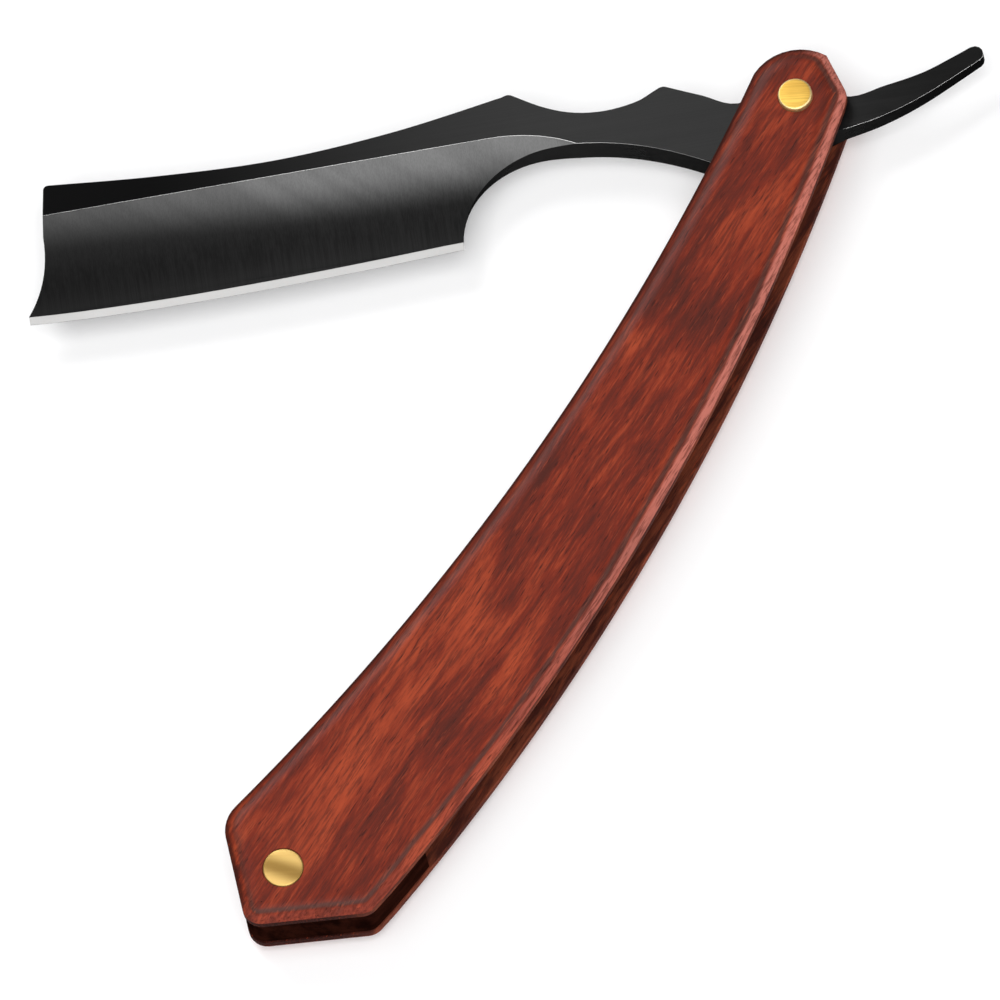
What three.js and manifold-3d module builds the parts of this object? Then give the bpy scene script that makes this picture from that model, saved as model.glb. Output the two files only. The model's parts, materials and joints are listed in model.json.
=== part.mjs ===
// Straight razor: one forged blade that swings between two wooden scales on a brass rivet.
// Millimetres, +Z up. The razor lies on its back face. The origin is on the pivot axis, at the outer
// face of the back pivot rivet. +X runs from the pivot to the far rivet, +Y to the handle's convex side.
import * as THREE from "three";
import { mergeVertices } from "three/addons/utils/BufferGeometryUtils.js";
import Module from "manifold-3d";

const wasm = await Module();
wasm.setup();

// ---- Driving dimensions -------------------------------------------------------------------------

// Blade, in its own frame: x from the pivot to the nose, y from the spine to the cutting edge.
const edgeLength = 68; // heel to nose, along the cutting edge
const heelReach = 54.3; // pivot to heel
const edgeDepth = 13.6; // pivot line to cutting edge
const edgeBelly = 1; // how far the cutting edge bows out between heel and nose
const spineHeight = 8.2; // pivot line to the spine at the nose
const spineWaist = 5.75; // the same where the blade is narrowest
const spineWaistReach = 80.8; // pivot to that waist
const shoulderHeight = 10.05; // the peak between blade and tang
const shoulderReach = 43.9; // pivot to that peak
const thumbRestHeight = 4.45; // pivot line to the bottom of the scalloped thumb rest
const thumbRestReach = 29.5;
const tangPeakHeight = 6.95; // the second peak, behind the thumb rest
const tangPeakReach = 20.2;
const tangNeckHeight = 1.8; // pivot line to the top of the tang where it enters the scales
const tangNeckReach = 8.8;
const pivotSwell = 4.3; // pivot line to the top of the tang, straight above the pivot
const tangBottomDepth = 7.7; // pivot line to the bottom of the tang, in front of the scales
const tangBottomReach = 14;
const pivotDepth = 6.3; // pivot line to the bottom of the tang, straight under the pivot
const noseSlant = 5.2; // how far the nose leans forward from spine to edge
const noseKnee = 1.2; // how much of that it has gained at the pivot line
const peakRadius = 1.3; // rounding of those two peaks
const noseCornerRadius = 0.8; // the same where the spine meets the nose
const steelThickness = 5.4; // spine and tang
const webThickness = 0.44; // the thinnest part of the hollow
const honeWidth = 1.3; // width of the honed strip at the edge
const edgeThickness = 0.06; // what the hone leaves
const grindLine = 3.2; // pivot line to the upper limit of the hollow
const hollowFloor = 11.4; // pivot line to the deepest part of the hollow
const archReach = 39; // pivot to the top of the finger arch under the shoulder
const wheelRunOut = 90; // radius of the grinding wheel's shoulder
const runOutReach = 48; // pivot to where the wheel's shoulder starts
const runOutAngle = 12; // how much of that shoulder the wheel has, in degrees
const tailReach = 28.2; // pivot to the centre of the round tail tip
const tailLift = 3.9; // how far the tail tip bends back to the spine side
const tailTipRadius = 1.3;
const tailRootReach = 7.5; // pivot to where the tail leaves the scales
const tailRootTop = 0.2; // pivot line to the top and to the bottom of the tail there
const tailRootBottom = 5.1;
const tailRootThickness = 3.8;
const tailTipThickness = 2.4;
const coveClearance = 0.6; // washer to the cove where the tail thins
const coveLength = 3;

// Handle.
const scaleThickness = 2.6;
const sideClearance = 0.3; // steel to scale, on each side
const crownWidth = 2.8; // rounded border of each scale's outer face
const crownDepth = 1.3;
const noseClearance = 12.8; // nose tip to wedge, as the blade swings past
const wedgeToRivet = 12.8; // front of the wedge to the far rivet
const topRadius = 8.2; // round pivot end of the scales
const topCentreX = -0.4; // its centre lies this far from the pivot
const topCentreY = 0.2;
const pivotFlatReach = 4.6; // pivot to the corner between the round end and the convex side
const pivotFlatLength = 2.2; // straight from that corner to where the convex side starts to bow
const pivotFlatRise = 0.8;
const concaveAtMiddle = 3.6; // pivot line to the scales' two long sides
const concaveAtFarEnd = 12.85;
const convexAtPivot = 6.5;
const convexAtMiddle = 18.2;
const convexAtFarEnd = 15.3;
const concaveCornerBack = 2.4; // far rivet back to the corners of the far end
const convexCornerBack = 0.6;
const concaveStraight = 6.6; // straights before those corners, and what they fall or rise
const concaveStraightFall = 1.35;
const convexStraight = 4.4;
const convexStraightRise = 0.7;
const farPoint = 10.6; // far rivet to the point of the far end
const concaveCornerRadius = 5.5;
const farCornerRadius = 3;

// Fittings.
const shankDiameter = 2.4; // solid shanks of both rivets
const socketDiameter = 3.4; // the tubes that take them
const pivotHeadDiameter = 5.3;
const pivotHeadProud = 0.9;
const farHeadDiameter = 6.3;
const farHeadProud = 0.15;
const headSink = 0.5; // depth of a rivet head's seat in its scale
const washerDiameter = 7.6;
const fitClearance = 0.1; // pin to hole, head to seat, washer to tang
const wedgeInset = 0.2; // the wedge stops this far inside the scales' outline
const brokenEdge = 0.25; // chamfer of the rivet heads

// How far the blade stands open at rest, from fully closed, in degrees.
const restOpening = 50;

// ---- Sizes that follow ---------------------------------------------------------------------------

const noseX = heelReach + edgeLength;
const bladeSwing = Math.hypot(noseX, edgeDepth);
const wedgeFront = bladeSwing + noseClearance;
const rivetSpan = wedgeFront + wedgeToRivet;
const gap = steelThickness + 2 * sideClearance;
const backScaleZ = pivotHeadProud;
const gapZ = backScaleZ + scaleThickness;
const frontScaleZ = gapZ + gap;
const frontFaceZ = frontScaleZ + scaleThickness;
const middleZ = gapZ + gap / 2;
const overall = rivetSpan + noseX; // longer than anything here, for cutting tools

// ---- Fineness of the curves ----------------------------------------------------------------------

const bladeSpacing = 1.2; // between the corners of an outline
const handleSpacing = 1.6;
const fewestPieces = 6; // of any curve
const wheelSides = 300;
const rodSides = 32;
const wedgeSides = 256;
const turnedSides = 40;
const honeSteps = 16;

// ---- Colours -------------------------------------------------------------------------------------

const steel = { color: 0x2b2b2b, roughness: 0.42, metalness: 0.85 };
const rosewood = { color: 0x8a3a28, roughness: 0.35, metalness: 0 };
const darkWood = { color: 0x2a1510, roughness: 0.5, metalness: 0 };
const brass = { color: 0xd9a94a, roughness: 0.3, metalness: 1 };

// ---- Solids: join and cut ------------------------------------------------------------------------

function solid(geometry) {
  const bare = geometry.clone();
  bare.deleteAttribute("normal");
  bare.deleteAttribute("uv");
  const merged = mergeVertices(bare, 1e-4);
  const triVerts = new Uint32Array(merged.index.array);
  const vertProperties = merged.attributes.position.array;
  return new wasm.Manifold(new wasm.Mesh({ numProp: 3, vertProperties, triVerts }));
}

function cut(body, ...tools) {
  return tools.reduce((left, tool) => left.subtract(solid(tool)), body);
}

function piece(name, body, look) {
  const { vertProperties, triVerts, numProp } = body.getMesh();
  const geometry = new THREE.BufferGeometry();
  const corners = new THREE.InterleavedBuffer(vertProperties, numProp);
  geometry.setAttribute("position", new THREE.InterleavedBufferAttribute(corners, 3, 0));
  geometry.setIndex(new THREE.BufferAttribute(triVerts, 1));
  const faceted = geometry.toNonIndexed();
  faceted.computeVertexNormals();
  const mesh = new THREE.Mesh(faceted, new THREE.MeshStandardMaterial(look));
  mesh.name = name;
  return mesh;
}

function rod(x, y, diameter, zLow, zHigh, sides = rodSides) {
  const geometry = new THREE.CylinderGeometry(diameter / 2, diameter / 2, zHigh - zLow, sides);
  return geometry.rotateX(Math.PI / 2).translate(x, y, (zLow + zHigh) / 2);
}

function slab(shape, zLow, zHigh) {
  const geometry = new THREE.ExtrudeGeometry(shape, { depth: zHigh - zLow, bevelEnabled: false });
  return geometry.translate(0, 0, zLow);
}

function point(x, y) {
  return new THREE.Vector2(x, y);
}

// A point between two others, by its share of the way along x and along y.
function between(from, to, shareX, shareY) {
  return point(from.x + (to.x - from.x) * shareX, from.y + (to.y - from.y) * shareY);
}

// Carries a path on to the corner, round it with the given radius, and off towards the next point.
function roundCorner(path, corner, next, radius) {
  const back = path.currentPoint.clone().sub(corner).normalize();
  const ahead = next.clone().sub(corner).normalize();
  const halfAngle = Math.acos(back.dot(ahead)) / 2;
  const start = back.clone().multiplyScalar(radius / Math.tan(halfAngle)).add(corner);
  const end = ahead.clone().multiplyScalar(radius / Math.tan(halfAngle)).add(corner);
  const middle = back.clone().add(ahead).normalize();
  const centre = middle.multiplyScalar(radius / Math.sin(halfAngle)).add(corner);
  const from = start.clone().sub(centre).angle();
  const to = end.clone().sub(centre).angle();
  path.lineTo(start.x, start.y);
  path.absarc(centre.x, centre.y, radius, from, to, back.cross(ahead) > 0);
}

// The path as a polygon, with a corner about every `spacing` along its curves.
function polygon(path, spacing) {
  const corners = path.curves.flatMap((curve) => {
    const pieces = curve.isLineCurve ? 1 : Math.max(fewestPieces, Math.ceil(curve.getLength() / spacing));
    return curve.getSpacedPoints(pieces).slice(1);
  });
  return new THREE.Shape(corners.filter((corner, i) => corner.distanceTo(corners.at(i - 1)) > 0.01));
}

// ---- Blade ---------------------------------------------------------------------------------------

// The cutting edge bows out most a little nearer the nose than the heel.
function edgeCurve() {
  const heel = new THREE.Vector3(heelReach, edgeDepth, 0);
  const bow = new THREE.Vector3(heelReach + (2 / 3) * edgeLength, edgeDepth + 2 * edgeBelly, 0);
  const nose = new THREE.Vector3(noseX, edgeDepth, 0);
  return new THREE.QuadraticBezierCurve3(heel, bow, nose);
}

function bladeOutline() {
  const shape = new THREE.Shape();
  const edge = edgeCurve();
  const noseTop = point(noseX - noseSlant, -spineHeight);
  const knee = point(noseTop.x + noseKnee, 0);
  const waist = point(spineWaistReach, -spineWaist);
  const shoulder = point(shoulderReach, -shoulderHeight);
  const thumbRest = point(thumbRestReach, -thumbRestHeight);
  const tangPeak = point(tangPeakReach, -tangPeakHeight);
  const tangNeck = point(tangNeckReach, -tangNeckHeight);
  const tailRoot = point(-tailRootReach, -tailRootTop);
  const tailTip = point(-tailReach, -tailLift);
  shape.moveTo(edge.v0.x, edge.v0.y);
  shape.quadraticCurveTo(edge.v1.x, edge.v1.y, edge.v2.x, edge.v2.y);
  // Nose: square across the honed strip, then swept back to the spine.
  shape.lineTo(noseX, edgeDepth - honeWidth);
  shape.quadraticCurveTo(knee.x, edgeDepth / 2, knee.x, knee.y);
  // Along the spine to the shoulder.
  const spine = [
    between(waist, noseTop, 0.5, 0.3),
    waist,
    between(waist, shoulder, 0.5, 0.3),
    between(waist, shoulder, 0.97, 0.92),
  ];
  roundCorner(shape, noseTop, spine[0], noseCornerRadius);
  shape.splineThru(spine);
  // Thumb rest, scooped out between the two peaks.
  const scoop = [
    between(shoulder, thumbRest, 0.35, 0.57),
    between(shoulder, thumbRest, 0.66, 0.89),
    thumbRest,
    between(thumbRest, tangPeak, 0.53, 0.24),
    between(thumbRest, tangPeak, 0.83, 0.72),
  ];
  roundCorner(shape, shoulder, scoop[0], peakRadius);
  shape.splineThru(scoop);
  // Tang top, a swell round the pivot, and the top of the tail.
  const tangTop = [
    between(tangPeak, tangNeck, 0.5, 0.52),
    tangNeck,
    point(0, -pivotSwell),
    tailRoot,
    between(tailRoot, tailTip, 0.3, 0.21),
    between(tailRoot, tailTip, 0.6, 0.54),
    point(tailTip.x + 2.5 * tailTipRadius, tailTip.y - 0.1 * tailTipRadius),
    point(tailTip.x + 0.5 * tailTipRadius, tailTip.y - 0.9 * tailTipRadius),
  ];
  roundCorner(shape, tangPeak, tangTop[0], peakRadius);
  shape.splineThru(tangTop);
  shape.absarc(tailTip.x, tailTip.y, tailTipRadius, -0.4 * Math.PI, -1.34 * Math.PI, true);
  // Under the tail and tang to the arch, and the quarter ellipse down to the heel.
  const tailUnder = point(-tailRootReach, tailRootBottom);
  shape.splineThru([
    between(tailUnder, tailTip, 0.59, 0.39),
    between(tailUnder, tailTip, 0.27, 0.13),
    tailUnder,
    point(0, pivotDepth),
    point(tangBottomReach / 2, tangBottomDepth),
    point(tangBottomReach, tangBottomDepth),
  ]);
  shape.quadraticCurveTo((tangBottomReach + archReach) / 2, 0, archReach, 0);
  shape.absellipse(archReach, edgeDepth, heelReach - archReach, edgeDepth, -Math.PI / 2, 0, false);
  return polygon(shape, bladeSpacing);
}

// A grinding wheel whose axis runs along the blade. It leaves half the web in the middle plane, cuts up
// to the grind line, and runs out on its rounded shoulder before the tang.
function grindingWheel() {
  const sink = (steelThickness - webThickness) / 2;
  const chord = grindLine + hollowFloor;
  const radius = (chord * chord + sink * sink) / (2 * sink);
  const runOut = THREE.MathUtils.degToRad(runOutAngle);
  const pastNose = noseX + steelThickness;
  const profile = new THREE.Path();
  const shoulderEnd = runOutReach - wheelRunOut * Math.sin(runOut);
  profile.moveTo(0, shoulderEnd);
  profile.lineTo(radius - wheelRunOut * (1 - Math.cos(runOut)), shoulderEnd);
  profile.absarc(radius - wheelRunOut, runOutReach, wheelRunOut, -runOut, 0, false);
  profile.lineTo(radius, pastNose);
  profile.lineTo(0, pastNose);
  const wheel = new THREE.LatheGeometry(profile.getPoints(fewestPieces), wheelSides);
  wheel.rotateZ(-Math.PI / 2); // the lathe's axis, along the blade
  return wheel.translate(0, hollowFloor, radius + webThickness / 2);
}

// The stone that hones one side of the edge: a sliver that follows the edge's bow.
function honingStone(side) {
  const past = 1; // how far the stone overhangs the edge, the heel and the nose
  const section = new THREE.Shape();
  section.moveTo(side * edgeThickness / 2, past);
  section.lineTo(side * edgeThickness / 2, 0);
  section.lineTo(side * webThickness / 2, -honeWidth);
  section.lineTo(side * webThickness, -honeWidth);
  section.lineTo(side * webThickness, past);
  const { v0, v1, v2 } = edgeCurve();
  const overhang = new THREE.Vector3(past, 0, 0);
  const path = new THREE.QuadraticBezierCurve3(v0.sub(overhang), v1, v2.add(overhang));
  const sweep = { steps: honeSteps, bevelEnabled: false, extrudePath: path };
  return new THREE.ExtrudeGeometry(section, sweep);
}

// What is ground off one face of the tail, seen from the side: a short cove, then a long taper.
function tailRelief(side) {
  const root = -washerDiameter / 2 - coveClearance;
  const pastTip = -tailReach - 2 * tailTipRadius;
  const rootFace = tailRootThickness / 2;
  const relief = new THREE.Shape();
  relief.moveTo(root, steelThickness);
  relief.lineTo(root, steelThickness / 2);
  relief.quadraticCurveTo(root - coveLength / 2, rootFace, root - coveLength, rootFace);
  relief.lineTo(pastTip, tailTipThickness / 2);
  relief.lineTo(pastTip, steelThickness);
  const run = { depth: overall, bevelEnabled: false, curveSegments: fewestPieces };
  const prism = new THREE.ExtrudeGeometry(relief, run);
  return prism.translate(0, 0, -overall / 2).rotateX(side * Math.PI / 2);
}

function makeBlade() {
  const blank = solid(slab(bladeOutline(), -steelThickness / 2, steelThickness / 2));
  const hole = rod(0, 0, socketDiameter + 2 * fitClearance, -steelThickness, steelThickness);
  const frontWheel = grindingWheel();
  const backWheel = grindingWheel().rotateX(Math.PI).translate(0, 2 * hollowFloor, 0);
  const hones = [honingStone(1), honingStone(-1)];
  const reliefs = [tailRelief(1), tailRelief(-1)];
  const body = cut(blank, hole, frontWheel, backWheel, ...hones, ...reliefs);
  const blade = piece("blade", body, steel);
  blade.position.z = middleZ;
  const swing = new THREE.Group();
  swing.rotation.z = -THREE.MathUtils.degToRad(restOpening);
  swing.add(blade);
  return swing;
}

// ---- Scales and wedge ----------------------------------------------------------------------------

// The outline that both scales and the wedge share. Its long sides are shallow curves; each bends
// through its height at the middle and runs into a short straight before the far end's corner.
function handleOutline() {
  const shape = new THREE.Shape();
  const top = point(topCentreX, topCentreY);
  const pivotFlat = point(-pivotFlatReach, convexAtPivot);
  const pivotFlatEnd = pivotFlat.clone().add(point(pivotFlatLength, pivotFlatRise));
  const concaveCorner = point(rivetSpan - concaveCornerBack, -concaveAtFarEnd);
  const farCorner = point(rivetSpan + farPoint, -topCentreY);
  const convexCorner = point(rivetSpan - convexCornerBack, convexAtFarEnd);
  const concaveEnd = concaveCorner.clone().add(point(-concaveStraight, concaveStraightFall));
  const convexEnd = convexCorner.clone().add(point(-convexStraight, convexStraightRise));
  const concaveBend = -2 * concaveAtMiddle - (top.y - topRadius + concaveEnd.y) / 2;
  const convexBend = 2 * convexAtMiddle - (pivotFlatEnd.y + convexEnd.y) / 2;
  shape.moveTo(top.x, top.y - topRadius);
  shape.quadraticCurveTo(concaveEnd.x / 2, concaveBend, concaveEnd.x, concaveEnd.y);
  roundCorner(shape, concaveCorner, farCorner, concaveCornerRadius);
  roundCorner(shape, farCorner, convexCorner, farCornerRadius);
  roundCorner(shape, convexCorner, convexEnd, farCornerRadius);
  shape.lineTo(convexEnd.x, convexEnd.y);
  shape.quadraticCurveTo(convexEnd.x / 2, convexBend, pivotFlatEnd.x, pivotFlatEnd.y);
  roundCorner(shape, pivotFlat, point(top.x - topRadius, top.y), farCornerRadius);
  shape.lineTo(top.x - topRadius, top.y);
  shape.absarc(top.x, top.y, topRadius, Math.PI, 1.5 * Math.PI, false);
  return polygon(shape, handleSpacing);
}

// A scale with its crowned face up: the bevelled extrusion has a crown on both faces, and its lower one
// is cut away with the part of the wall that it stands on.
function crownedScale() {
  const wall = scaleThickness - crownDepth;
  const geometry = new THREE.ExtrudeGeometry(handleOutline(), {
    depth: wall,
    bevelThickness: crownDepth,
    bevelSize: crownWidth,
    bevelOffset: -crownWidth,
    bevelSegments: 5,
  });
  const below = new THREE.BoxGeometry(2 * overall, 2 * overall, 2 * crownDepth).translate(0, 0, -crownDepth);
  return cut(solid(geometry), below);
}

function makeScale(name, zInner, faceUp) {
  const seatZ = scaleThickness - headSink;
  const above = 2 * scaleThickness;
  const below = -scaleThickness;
  const hole = socketDiameter + 2 * fitClearance;
  const drills = [
    rod(0, 0, pivotHeadDiameter + 2 * fitClearance, seatZ, above),
    rod(rivetSpan, 0, farHeadDiameter + 2 * fitClearance, seatZ, above),
    rod(0, 0, hole, below, above),
    rod(rivetSpan, 0, hole, below, above),
  ];
  const flip = new THREE.Matrix4().makeScale(1, 1, faceUp ? 1 : -1);
  const body = cut(crownedScale(), ...drills).transform(flip.elements);
  const scale = piece(name, body, rosewood);
  scale.position.z = zInner;
  return scale;
}

// The spacer at the far end: the scales' own outline, beyond the reach of the blade's nose.
function makeWedge() {
  const layer = (gap - 2 * fitClearance) / 3; // an extrusion is inset by its bevels, here without slope
  const whole = new THREE.ExtrudeGeometry(handleOutline(), {
    depth: layer,
    bevelThickness: layer,
    bevelSize: 0,
    bevelOffset: -wedgeInset,
    bevelSegments: 1,
  }).translate(0, 0, -layer / 2);
  const bladeRoom = rod(0, 0, 2 * wedgeFront, -gap, gap, wedgeSides);
  const hole = rod(rivetSpan, 0, socketDiameter + 2 * fitClearance, -gap, gap);
  const wedge = piece("wedge", cut(solid(whole), bladeRoom, hole), darkWood);
  wedge.position.z = middleZ;
  return wedge;
}

// ---- Rivets and washers --------------------------------------------------------------------------

// A round part turned about Z at the given place, from its half profile as pairs of radius and height.
function turned(name, x, profile) {
  const points = profile.map(([radius, z]) => point(radius, z));
  const geometry = new THREE.LatheGeometry(points, turnedSides).rotateX(Math.PI / 2);
  const mesh = piece(name, solid(geometry), brass);
  mesh.position.x = x;
  return mesh;
}

// Each rivet is two halves: a head with a solid shank, and a head with a tube that grips the shank.
function makeRivet(name, x, headDiameter, proud) {
  const head = headDiameter / 2;
  const seatZ = frontFaceZ - headSink;
  const topZ = frontFaceZ + proud;
  const backSeatZ = backScaleZ + headSink;
  const bottomZ = backScaleZ - proud;
  const shank = shankDiameter / 2;
  const socket = socketDiameter / 2;
  const bore = shank + fitClearance;
  const tubeEnd = seatZ - fitClearance;
  const shankEnd = bottomZ + 2 * fitClearance + brokenEdge;
  const front = [
    [0, shankEnd],
    [shank, shankEnd],
    [shank, seatZ],
    [head, seatZ],
    [head, topZ - brokenEdge / 2],
    [head - brokenEdge, topZ],
    [0, topZ],
  ];
  const boreEnd = shankEnd - fitClearance;
  const back = [
    [0, bottomZ],
    [head - brokenEdge, bottomZ],
    [head, bottomZ + brokenEdge / 2],
    [head, backSeatZ],
    [socket, backSeatZ],
    [socket, tubeEnd],
    [bore, tubeEnd],
    [bore, boreEnd],
    [0, boreEnd],
  ];
  return [turned(name + "_front", x, front), turned(name + "_back", x, back)];
}

function makeWasher(name, zLow, zHigh) {
  const hole = socketDiameter / 2 + fitClearance;
  const rim = washerDiameter / 2;
  const profile = [
    [hole, zLow],
    [rim, zLow],
    [rim, zHigh],
    [hole, zHigh],
    [hole, zLow],
  ];
  return turned(name, 0, profile);
}

// ---- Assembly ------------------------------------------------------------------------------------

const razor = new THREE.Group();
razor.add(makeBlade());
razor.add(makeScale("front_scale", frontScaleZ, true));
razor.add(makeScale("back_scale", gapZ, false));
razor.add(makeWedge());
razor.add(...makeRivet("pivot_rivet", 0, pivotHeadDiameter, pivotHeadProud));
razor.add(...makeRivet("far_rivet", rivetSpan, farHeadDiameter, farHeadProud));
razor.add(makeWasher("back_pivot_washer", gapZ, gapZ + sideClearance - fitClearance));
razor.add(makeWasher("front_pivot_washer", frontScaleZ - sideClearance + fitClearance, frontScaleZ));

export default razor;
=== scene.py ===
import json
from math import cos, pi, radians, sin

import bmesh
import bpy
from bpy.props import FloatProperty, FloatVectorProperty, PointerProperty
from mathutils import Matrix, Vector


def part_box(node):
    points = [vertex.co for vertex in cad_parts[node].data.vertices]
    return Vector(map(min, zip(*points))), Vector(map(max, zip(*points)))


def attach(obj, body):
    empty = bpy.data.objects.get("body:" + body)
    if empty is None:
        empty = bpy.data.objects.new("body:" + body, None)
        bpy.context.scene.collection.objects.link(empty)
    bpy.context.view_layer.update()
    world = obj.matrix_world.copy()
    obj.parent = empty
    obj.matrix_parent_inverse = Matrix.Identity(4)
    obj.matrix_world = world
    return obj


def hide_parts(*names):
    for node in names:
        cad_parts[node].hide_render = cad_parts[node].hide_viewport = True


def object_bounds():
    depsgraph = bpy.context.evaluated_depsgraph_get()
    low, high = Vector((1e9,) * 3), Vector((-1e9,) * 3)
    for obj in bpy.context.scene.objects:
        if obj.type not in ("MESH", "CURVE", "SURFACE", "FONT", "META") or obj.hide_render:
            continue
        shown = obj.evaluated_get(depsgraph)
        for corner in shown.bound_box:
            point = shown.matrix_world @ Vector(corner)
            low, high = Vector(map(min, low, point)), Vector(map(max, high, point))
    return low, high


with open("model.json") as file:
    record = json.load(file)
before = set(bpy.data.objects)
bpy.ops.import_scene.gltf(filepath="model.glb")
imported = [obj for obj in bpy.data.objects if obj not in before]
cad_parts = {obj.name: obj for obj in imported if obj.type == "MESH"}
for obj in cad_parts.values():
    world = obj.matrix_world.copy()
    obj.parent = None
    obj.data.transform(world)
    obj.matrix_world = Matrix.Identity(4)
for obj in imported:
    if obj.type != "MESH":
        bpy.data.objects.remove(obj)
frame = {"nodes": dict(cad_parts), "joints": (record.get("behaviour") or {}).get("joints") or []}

bl_info = {
    "name": "Straight razor",
    "version": (1, 0, 0),
    "blender": (4, 5, 0),
    "location": "View3D > Sidebar > Razor",
    "description": "Models and finishes the pieces of a straight razor around its engineering model",
    "category": "Object",
}

MM = 0.001
CAD_BOX = [list(corner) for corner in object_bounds()]
BOX_CENTRE = [(low + high) / 2 for low, high in zip(*CAD_BOX)]

# ---- Places, from the frame ----------------------------------------------------------------------

BLADE_LOW, BLADE_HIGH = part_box("blade")
FRONT_LOW, FRONT_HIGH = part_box("front_scale")
MIDDLE_Z = (BLADE_LOW.z + BLADE_HIGH.z) / 2
HALF_STEEL = (BLADE_HIGH.z - BLADE_LOW.z) / 2
HALF_HANDLE = FRONT_HIGH.z - MIDDLE_Z
SCALE_THICKNESS = FRONT_HIGH.z - FRONT_LOW.z
PIVOT = Vector((0, 0, MIDDLE_Z))
FAR_RIVET = sum(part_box("far_rivet_front"), Vector()) / 2
# How far the middle line of the scales bows to the convex side, midway between the rivets.
SCALE_BOW = FRONT_HIGH.y / 2
# The blade lies this far from closed, so its own frame is turned by as much about the pivot.
OPENING = radians(frame["joints"][0]["range_deg"][1])
# Along the blade from the pivot: where the hollow grind starts, and where the tang ends.
HOLLOW_START = 34 * MM
TANG_END = 37 * MM
# The holes of the scales lie within this of the middles of their rivets.
HOLE_REACH = 3 * MM
# Edges that bend more than this belong to a piece's outline.
SHARP_BEND = radians(50)
# The blade's finishes, in the order of its material slots.
COATED, GROUND, HONED, WORN = range(4)


def along_blade(place):
    """A point or direction of the razor in the blade's own frame: x to the nose, y to the edge."""
    return Matrix.Rotation(OPENING, 3, "Z") @ place


# ---- Sizes and colours that a user would change --------------------------------------------------


def size(name, description, millimetres):
    return FloatProperty(name=name, description=description, default=millimetres * MM,
                         min=0, unit="LENGTH", precision=5)


def colour(name, description, value):
    return FloatVectorProperty(name=name, description=description, default=value,
                               subtype="COLOR", size=3, min=0, max=1)


class RazorSizes(bpy.types.PropertyGroup):
    crown_width: size("Crown width", "Width of the rounded border of each scale", 3.3)
    crown_depth: size("Crown depth", "How far that border falls away", 1.35)
    wood_edge: size("Wood edge", "Broken edge along the inside of the scales", 0.12)
    steel_edge: size("Steel edge", "Broken edge of the spine, tang and tail", 0.12)
    worn_edge: size("Worn edge", "Width of the bright worn arrises", 0.18)
    rivet_edge: size("Rivet edge", "Rounding of the rivet heads", 0.3)
    rivet_dome: size("Rivet dome", "How far the rivet heads bulge", 0.06)
    head_sink: size("Head sink", "Depth of each rivet head's seat in its scale", 0.5)
    seat_slack: size("Seat slack", "Room around a rivet head and around its tube", 0.1)
    shank_radius: size("Shank radius", "Of the solid half of a rivet", 1.2)
    tube_radius: size("Tube radius", "Of the half that takes the shank", 1.7)
    tube_wall: size("Tube wall", "Thickness of the tube", 0.4)
    tube_floor: size("Tube floor", "Brass left between the tube's bore and the head's face", 0.35)


class RazorColours(bpy.types.PropertyGroup):
    wood_red: colour("Wood red", "Main colour of the scales", (0.18, 0.023, 0.011))
    wood_orange: colour("Wood orange", "Bright streaks of the scales", (0.37, 0.058, 0.022))
    wood_dark: colour("Wood dark", "Dark streaks of the scales", (0.075, 0.016, 0.011))
    veneer_grey: colour("Grey veneer", "Layer that the crown cuts first", (0.075, 0.034, 0.027))
    # Partly veneer, partly a painted highlight on the crown of the convex side.
    pink_veneer_and_sheen: colour("Pink veneer", "Layer at the foot of the crown", (0.52, 0.17, 0.13))
    wall_dark: colour("Wall dark", "Dark grain of the side walls", (0.05, 0.014, 0.010))
    wall_light: colour("Wall light", "Light grain of the side walls", (0.18, 0.045, 0.022))
    # Also painted as shade over the crown of the concave side.
    end_grain_and_shade: colour("End grain", "Oiled end grain at the far end", (0.013, 0.0035, 0.0025))
    coating: colour("Coating", "Black coating of the spine and tail", (0.0045, 0.0045, 0.0046))
    # Lighter tone of the coating over the tang.
    coating_lighter: colour("Rubbed coating", "The coating where the tang is held", (0.039, 0.039, 0.039))
    hollow_dark: colour("Dark hollow", "Lower part of the hollow", (0.019, 0.019, 0.019))
    # Partly bare steel, partly a painted reflection along the top of the hollow.
    ground_and_sheen: colour("Ground steel", "Bare steel of the hollow near the spine", (0.115, 0.115, 0.115))
    honed: colour("Honed steel", "Honed strip along the edge", (0.52, 0.515, 0.51))
    worn: colour("Worn steel", "Arrises where the coating has worn off", (0.95, 0.95, 0.94))
    brass: colour("Brass", "Pivot rivet and washers", (0.97, 0.66, 0.15))
    # Painted highlight on the rims of the pivot heads.
    brass_rim_highlight: colour("Worn brass", "Rim of the pivot heads", (1.0, 0.88, 0.5))
    satin_light: colour("Satin brass", "Far rivet", (0.74, 0.5, 0.17))
    # Painted reflection: the dark band across the far rivet's dome.
    satin_reflection_band: colour("Satin band", "Darker band across the far rivet", (0.33, 0.2, 0.055))


class RazorStage(bpy.types.PropertyGroup):
    floor: colour("Floor", "Colour of the floor", (0.92, 0.92, 0.925))
    look_at: FloatVectorProperty(name="Look at", description="Point that the camera looks at",
                                 default=(0.0784, -0.00552, 0.0065), subtype="TRANSLATION", size=3)
    tilt: FloatProperty(name="Tilt", description="Lean of the view from straight down",
                        default=radians(25.1), subtype="ANGLE")
    turn: FloatProperty(name="Turn", description="Turn of the view about the vertical",
                        default=radians(136.3), subtype="ANGLE")
    roll: FloatProperty(name="Roll", description="Roll of the camera about its own axis",
                        default=radians(-15.53), subtype="ANGLE")
    view_width: size("View width", "Width of what the camera sees", 153.57)
    lens: FloatProperty(name="Lens", description="Focal length in millimetres", default=1200, min=1)


# ---- Modelling tools -----------------------------------------------------------------------------


def choose(piece):
    """Makes the piece the only selected and the active object."""
    bpy.ops.object.select_all(action="DESELECT")
    piece.hide_viewport = False
    piece.select_set(True)
    bpy.context.view_layer.objects.active = piece


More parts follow.
